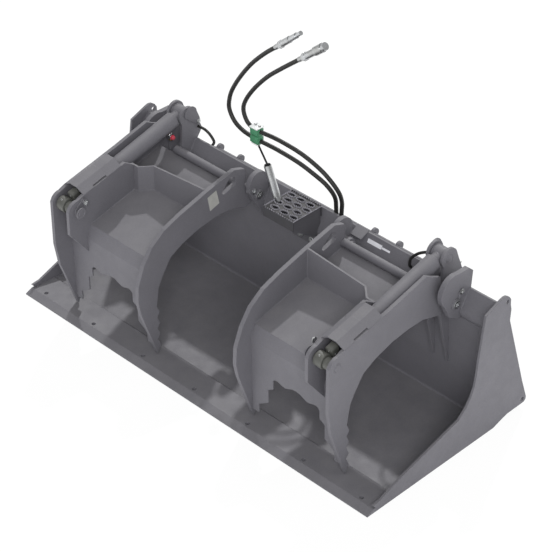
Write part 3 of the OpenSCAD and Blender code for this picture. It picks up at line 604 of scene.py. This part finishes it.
def rod_ends():
    """Forged eye with its split block, lug and screws on each rod, and the rod pin's heads."""
    for side, s in SIDES:
        centre = mm(s * CYL_X, *ROD_PIN)
        back = -ROD_WAY
        v = EAST.cross(back).normalized()
        eye = bmesh.new()
        turned(eye, centre, EAST, EYE_PROFILE)
        prism(eye, centre + back * 0.029, EAST, v, SPLIT_BLOCK, -24)
        prism(eye, centre + back * 0.027, EAST, v, EYE_LUG, -34)
        turned(eye, centre + back * 0.027 + v * 0.032, -back,
               [(-1, 10), (1.4, 10), (2, 9), (2, 5.5), (-1, 5.5)], MIDDLE_STEPS, closed=True)
        piece("rod_end_" + side, eye, "eye_steel", "piston_" + side,
              replaces=("rod_eye_" + side,), soften=1.0)
        small = bmesh.new()
        across = centre + back * 0.041 + v * 0.0145
        turned(small, across + EAST * 0.014, EAST, SCREW_HEAD, HEXAGON)
        turned(small, across - EAST * 0.014, -EAST, SCREW_HEAD, HEXAGON)
        turned(small, centre + back * 0.028 + v * 0.032, -back,
               [(0, 4.6), (3.4, 4.6), (4.2, 3.6)], HEXAGON)
        turned(small, centre - EAST * 0.015, Vector((0, -0.5, 0.86)),
               [(30, 4), (33, 4), (33.6, 3), (36, 2.4), (37, 3), (38.5, 3), (39.4, 1.6)], 18)
        piece("rod_end_screw_" + side, small, "zinc", "piston_" + side)
        flag = bmesh.new()
        bolt(flag, mm(s * PIN_HEAD_X, 74, 602), -EAST * s, 9.4, 6.2, 12.5)
        piece("rod_flag_bolt_" + side, flag, "zinc", "grapple_" + side)
        head = bmesh.new()
        turned(head, mm(s * PIN_HEAD_X, *ROD_PIN), -EAST * s,
               [(-1, 25), (3, 25), (4.5, 23.5), (4.5, 15), (3.4, 14.4), (3.4, 12.6), (4.5, 12),
                (4.5, 2)])
        turned(head, mm(s * (PLATE_OUT + 2), *ROD_PIN), EAST * s,
               [(-2, 15.8), (0.2, 15.8), (1.2, 14.8), (1.2, 3), (0.4, 2)])
        turned(head, mm(s * PLATE_OUT, *ROD_PIN), EAST * s,
               [(-0.5, 16.2), (1.8, 17.4), (1.4, 19.4), (-0.5, 21)], closed=True)
        piece("rod_pin_head_" + side, head, "grapple_paint", "grapple_" + side)


PORT_FROM_PIN = 0.084
PORT_BLOCK = [(-12, -8), (-10, -9), (10, -9), (12, -8), (12, 8), (10, 9), (-10, 9), (-12, 8)]


def ports():
    """Port fitting under each barrel: nipple, hexagon, block, ring nut and red cap."""
    for side, s in SIDES:
        place = mm(s * CYL_X, *BASE_PIN) + ROD_WAY * PORT_FROM_PIN
        cap_place = place + HANG_WAY * 0.067
        steel = bmesh.new()
        turned(steel, place, HANG_WAY, [(41, 8), (54, 8), (54, 6)], MIDDLE_STEPS)
        turned(steel, place, HANG_WAY, [(50, 9.4), (51, 10.4), (57, 10.4), (58, 9.4)], HEXAGON)
        prism(steel, place + HANG_WAY * 0.058, EAST, HANG_WAY.cross(EAST).normalized(),
              PORT_BLOCK, 19)
        turned(steel, cap_place, -EAST * s, [(11, 7.6), (15, 7.6), (15, 5)], MIDDLE_STEPS)
        piece("port_block_" + side, steel, "zinc", "cylinder_" + side,
              replaces=("port_fitting_" + side,), soften=0.5)
        brass = bmesh.new()
        turned(brass, place, HANG_WAY, [(76.8, 9.6), (78, 10.6), (83, 10.6), (84, 9.6)],
               HEXAGON)
        turned(brass, place, HANG_WAY, [(84, 7.6), (87, 7.6), (88, 6.4)], MIDDLE_STEPS)
        piece("port_nut_" + side, brass, "fitting_brass", "cylinder_" + side)
        cap = bmesh.new()
        turned(cap, cap_place, -EAST * s,
               [(13, 10.5), (13, 11.5), (15, 11.5), (15, 9.2), (22, 8.8), (24, 7.2), (24.6, 4)],
               32)
        piece("port_cap_" + side, cap, "fitting_brass", "cylinder_" + side, look=CAP_RED)


# The tread's top, its openings and its edges, measured from its middle and its front
TREAD_TOP = 632
TREAD_FRONT = 527
OPENING_COLUMNS, OPENING_ROWS = 3, 4
OPENING_PITCH_X, OPENING_PITCH_Y = 52, 37
OPENING_SHIFT = 8
OPENING_FIRST = 26
RIM_INNER, RIM_OUTER = (19.4, 10.6), (22.6, 13.8)
RIM_STEPS = 24
TOOTH_LOW, RIM_HIGH, EDGE_HIGH = 1.5, 7.5, 7.0
TREAD_HALF = 83.8
EDGE_T = 2.8


def toothed_strip(bm, inner, outer, high, closed):
    """Thin upright wall between two lines, its top edge low and high by turns."""
    foot = TREAD_TOP - 0.5
    rings = []
    for k, (a, b) in enumerate(zip(inner, outer)):
        top = TREAD_TOP + (high if k % 2 else TOOTH_LOW)
        rings.append([bm.verts.new(mm(*a, foot)), bm.verts.new(mm(*b, foot)),
                      bm.verts.new(mm(*b, top)), bm.verts.new(mm(*a, top))])
    pairs = list(zip(rings, rings[1:])) + ([(rings[-1], rings[0])] if closed else [])
    for one, two in pairs:
        for k in range(4):
            bm.faces.new((one[k], one[(k + 1) % 4], two[(k + 1) % 4], two[k]))
    if not closed:
        bm.faces.new(rings[0])
        bm.faces.new(rings[-1][::-1])


def step_teeth():
    """Toothed rims round the tread's openings and along its edges."""
    teeth = bmesh.new()
    angles = [math.tau * k / RIM_STEPS for k in range(RIM_STEPS)]
    for i in range(OPENING_COLUMNS):
        for j in range(OPENING_ROWS):
            cx = (i - 1) * OPENING_PITCH_X + (OPENING_SHIFT if j % 2 == 0 else -OPENING_SHIFT)
            cy = TREAD_FRONT + OPENING_FIRST + j * OPENING_PITCH_Y
            inner, outer = ([(cx + rx * math.cos(a), cy + ry * math.sin(a)) for a in angles]
                            for rx, ry in (RIM_INNER, RIM_OUTER))
            toothed_strip(teeth, inner, outer, RIM_HIGH, True)
    for y0, y1 in ((527.2, 530), (687, 689.8)):
        xs = [-TREAD_HALF + 2 * TREAD_HALF * k / 34 for k in range(35)]
        toothed_strip(teeth, [(x, y0) for x in xs], [(x, y1) for x in xs], EDGE_HIGH, False)
    for x0, x1 in ((-TREAD_HALF, EDGE_T - TREAD_HALF), (TREAD_HALF - EDGE_T, TREAD_HALF)):
        ys = [530.4 + 156.4 * k / 32 for k in range(33)]
        toothed_strip(teeth, [(x0, y) for y in ys], [(x1, y) for y in ys], EDGE_HIGH, False)
    piece("step_teeth", teeth, "bucket_paint", "bucket", look=TOOTH_PAINT)


CLAMP_X0, CLAMP_X1 = -253, -211
CLAMP_Y = 640
CLAMP_HOSES = (831, 875)
CLAMP_HALVES = ((816, 852.6), (853.4, 889))
CLAMP_CUT = 6


def clamp():
    """Twin hose clamp: two moulded halves, cover plates and two long screws."""
    body = bmesh.new()
    for z0, z1 in CLAMP_HALVES:
        plate_x(body, CLAMP_X0, CLAMP_X1,
                [(622, z0 + CLAMP_CUT), (629, z0), (651, z0), (658, z0 + CLAMP_CUT),
                 (658, z1 - CLAMP_CUT), (651, z1), (629, z1), (622, z1 - CLAMP_CUT)])
    for z in CLAMP_HOSES:
        for x, way in ((CLAMP_X1, 1), (CLAMP_X0, -1)):
            turned(body, mm(x, CLAMP_Y, z), EAST * way,
                   [(-1, 9), (-1, 13), (2.5, 12.4), (3, 11.6), (3, 9)], closed=True)
    piece("clamp_body", body, "clamp_green", "bucket", replaces=("hose_clamp",), soften=1.2)
    steel = bmesh.new()
    plate_x(steel, -254, -210, [(618, 889), (662, 889), (662, 893), (618, 893)])
    plate_x(steel, -250, -214, [(626, 811), (654, 811), (654, 816), (626, 816)])
    piece("clamp_plates", steel, "zinc", "bucket", look=COVER_ZINC, soften=0.8)
    screws = bmesh.new()
    for x in (-243, -221):
        turned(screws, mm(x, 646, 893), UP, [(0, 6.4), (4.4, 6.4), (5.6, 5.4)], HEXAGON)
        turned(screws, mm(x, CLAMP_Y, 807.6), UP, [(0, 5.4), (3.4, 5.8)], HEXAGON)
    piece("clamp_screws", screws, "zinc", "bucket")


# The rail's sloping face rises from its lower front corner
RAIL_CORNER = (675, 530)
RAIL_SLOPE = Vector((0, 45, 73)).normalized()
LABEL_T = 0.9
TINE_LABEL_X = -268.5
TINE_LABEL = [(397, 646), (410, 577), (461, 592), (446, 660)]


def label_pieces():
    """Plain plates where the object has its labels: two on the rail, one on the left tine."""
    bm = bmesh.new()
    n = EAST.cross(RAIL_SLOPE).normalized()
    start = mm(0, *RAIL_CORNER) + n * 0.0002
    for x0, x1, low, high in ((321, 395, 49, 66), (397, 438, 53, 61)):
        prism(bm, start, EAST, RAIL_SLOPE, [(x0, low), (x1, low), (x1, high), (x0, high)],
              LABEL_T)
    piece("rail_blank_plates", bm, "zinc", "bucket", look=LABEL_WHITE)
    bm = bmesh.new()
    prism(bm, mm(TINE_LABEL_X, 0, 0), BACKWARD, UP, TINE_LABEL, LABEL_T)
    piece("tine_blank_plate", bm, "zinc", "grapple_left", look=LABEL_GREY)


GUARD_START = (84, 623.45)
GUARD_DIR = math.atan2(62, 272)
GUARD_HALF, GUARD_TOP_HALF = 60, 22
GUARD_H = 26
GUARD_T = 5
GUARD_SLOT_LIFT = 5.5
GUARD_RUNS = ((0, 58, 0), (58, 130, GUARD_SLOT_LIFT), (130, 209, 0))


def guard_section(lift):
    """Folded sheet's section, its two feet lifted off the plates below."""
    foot = GUARD_HALF - lift * (GUARD_HALF - GUARD_TOP_HALF) / GUARD_H
    inner_foot = foot - GUARD_T * 1.8
    inner_top = GUARD_TOP_HALF - 1.5
    return [(-foot, lift), (-GUARD_TOP_HALF, GUARD_H), (GUARD_TOP_HALF, GUARD_H),
            (foot, lift), (inner_foot, lift), (inner_top, GUARD_H - GUARD_T),
            (-inner_top, GUARD_H - GUARD_T), (-inner_foot, lift)]


def guards():
    """Folded cover over each rod, with an open slot above the plates' edges."""
    way = Vector((0, math.cos(GUARD_DIR), math.sin(GUARD_DIR)))
    rise = Vector((0, -math.sin(GUARD_DIR), math.cos(GUARD_DIR)))
    for side, s in SIDES:
        bm = bmesh.new()
        start = mm(s * CYL_X, *GUARD_START)
        for from_mm, to_mm, lift in GUARD_RUNS:
            prism(bm, start + way * from_mm / 1000, EAST, rise, guard_section(lift),
                  -(to_mm - from_mm))
        piece("guard_" + side, bm, "grapple_paint", "grapple_" + side,
              replaces=("rod_guard_" + side,))


PAN_FRONT = 111
PAN_BACK = 622
PAN_LOW = 469
PAN_HIGH = 592
PAN_INNER = 287.5
TINE_OUTER = 764
BAY_LINE = [(288, 396), (586, 396), (634, 353), (660, 353)]
FENCE_Y = 396.5
FLOOR_WELD_X = 980


def pan_height(y):
    return PAN_LOW + (PAN_HIGH - PAN_LOW) / (PAN_BACK - PAN_FRONT) * (y - PAN_FRONT)


def welds():
    """Weld beads along the main joints of the bucket and of each jaw."""
    ear_sides = (INNER_EAR, INNER_EAR + EAR_T, CLEVIS_IN, CLEVIS_IN + CLEVIS_T,
                 CLEVIS_OUT - CLEVIS_T, CLEVIS_OUT, OUTER_EAR - EAR_T, OUTER_EAR)
    bm = bmesh.new()
    bead(bm, [mm(-978, 151.5, 13), mm(978, 151.5, 13)], 4.5, 7)
    for _, s in SIDES:
        x = s * FLOOR_WELD_X
        bead(bm, [mm(x, 152, 10.5), mm(x, 722, 10.5)], 4, 6)
        bead(bm, [mm(x, 726, 17), mm(x, 705.5, 216), mm(x, 689.5, 478)], 4, 6)
        for ear in ear_sides:
            bead(bm, [mm(s * ear, 675, 531), mm(s * ear, 719, 602)], 3.5)
    piece("bucket_welds", bm, "bucket_paint", "bucket")
    for side, s in SIDES:
        bm = bmesh.new()
        bead(bm, [mm(s * x, y, pan_height(y)) for x, y in BAY_LINE], 3)
        for x, y0, y1 in ((PAN_INNER, 112, 588), (PLATE_IN, 112, 352), (TINE_OUTER, 362, 588)):
            bead(bm, [mm(s * x, y, pan_height(y) + 0.5) for y in (y0, y1)], 3)
        bead(bm, [mm(s * 287.9, FENCE_Y, z) for z in (540, 674)], 3)
        piece("jaw_welds_" + side, bm, "grapple_paint", "grapple_" + side)


bolt_heads()
pin_ends()
base_flags()
cylinder_eyes()
rod_ends()
ports()
step_teeth()
clamp()
label_pieces()
guards()
welds()

# Light, floor and background
KEY_FROM = Vector((-0.38, 0.58, 0.72))
KEY_POWER = 1.7
KEY_SPREAD = 2
FILL_FROM = Vector((0.60, -0.55, 0.58))
FILL_POWER = 1.22
FILL_SPREAD = 25
SUN_DISTANCE = 6
SKY_POWER = 0.57
WHITE = (1, 1, 1, 1)
FLOOR_HALF = 30
FLOOR_DROP = 0.0005
FLOOR_GREY = (0.78, 0.78, 0.78, 1)
FLOOR_GLOW = 0.4
FLOOR_WHITE_SHARE = 0.85


def sun(name, source, power, spread):
    data = bpy.data.lights.new(name, "SUN")
    data.energy = power
    data.angle = math.radians(spread)
    lamp = add_object(name, data)
    lamp.rotation_mode = "QUATERNION"
    lamp.rotation_quaternion = source.to_track_quat("Z", "Y")
    lamp.location = source * SUN_DISTANCE


def blend(tree, share, first, second, output):
    """Two shaders mixed by a share and sent to the tree's output."""
    mix = tree.nodes.new("ShaderNodeMixShader")
    tree.links.new(share.outputs[0], mix.inputs[0])
    tree.links.new(first.outputs[0], mix.inputs[1])
    tree.links.new(second.outputs[0], mix.inputs[2])
    tree.links.new(mix.outputs[0], tree.nodes[output].inputs["Surface"])


def make_world():
    """Pale sky for the light, white where the camera sees it."""
    world = bpy.data.worlds.new("studio")
    bpy.context.scene.world = world
    world.use_nodes = True
    tree = world.node_tree
    sky = tree.nodes["Background"]
    sky.inputs["Color"].default_value = WHITE
    sky.inputs["Strength"].default_value = SKY_POWER
    white = tree.nodes.new("ShaderNodeBackground")
    white.inputs["Color"].default_value = WHITE
    white.inputs["Strength"].default_value = 1.0
    path = tree.nodes.new("ShaderNodeLightPath")
    seen = tree.nodes.new("ShaderNodeMath")
    seen.operation = "MAXIMUM"
    tree.links.new(path.outputs["Is Camera Ray"], seen.inputs[0])
    tree.links.new(path.outputs["Is Transmission Ray"], seen.inputs[1])
    blend(tree, seen, sky, white, "World Output")


def make_floor():
    """Plain pale floor that looks nearly white and keeps a soft shadow."""
    h = FLOOR_HALF
    mesh = bpy.data.meshes.new("floor")
    mesh.from_pydata([(-h, -h, 0), (h, -h, 0), (h, h, 0), (-h, h, 0)], [], [(0, 1, 2, 3)])
    floor = add_object("floor", mesh)
    material = bpy.data.materials.new("floor")
    material.use_nodes = True
    tree = material.node_tree
    tree.nodes.remove(tree.nodes["Principled BSDF"])
    diffuse = tree.nodes.new("ShaderNodeBsdfDiffuse")
    diffuse.inputs["Color"].default_value = FLOOR_GREY
    faint = tree.nodes.new("ShaderNodeEmission")
    faint.inputs["Strength"].default_value = FLOOR_GLOW
    both = tree.nodes.new("ShaderNodeAddShader")
    tree.links.new(diffuse.outputs[0], both.inputs[0])
    tree.links.new(faint.outputs[0], both.inputs[1])
    glow = tree.nodes.new("ShaderNodeEmission")
    path = tree.nodes.new("ShaderNodeLightPath")
    share = tree.nodes.new("ShaderNodeMath")
    share.operation = "MULTIPLY"
    share.inputs[1].default_value = FLOOR_WHITE_SHARE
    tree.links.new(path.outputs["Is Camera Ray"], share.inputs[0])
    blend(tree, share, both, glow, "Material Output")
    mesh.materials.append(material)
    floor.location = (0, 0, -FLOOR_DROP)


sun("key", KEY_FROM, KEY_POWER, KEY_SPREAD)
sun("fill", FILL_FROM, FILL_POWER, FILL_SPREAD)
make_world()
make_floor()
bpy.context.scene.view_settings.view_transform = "Standard"
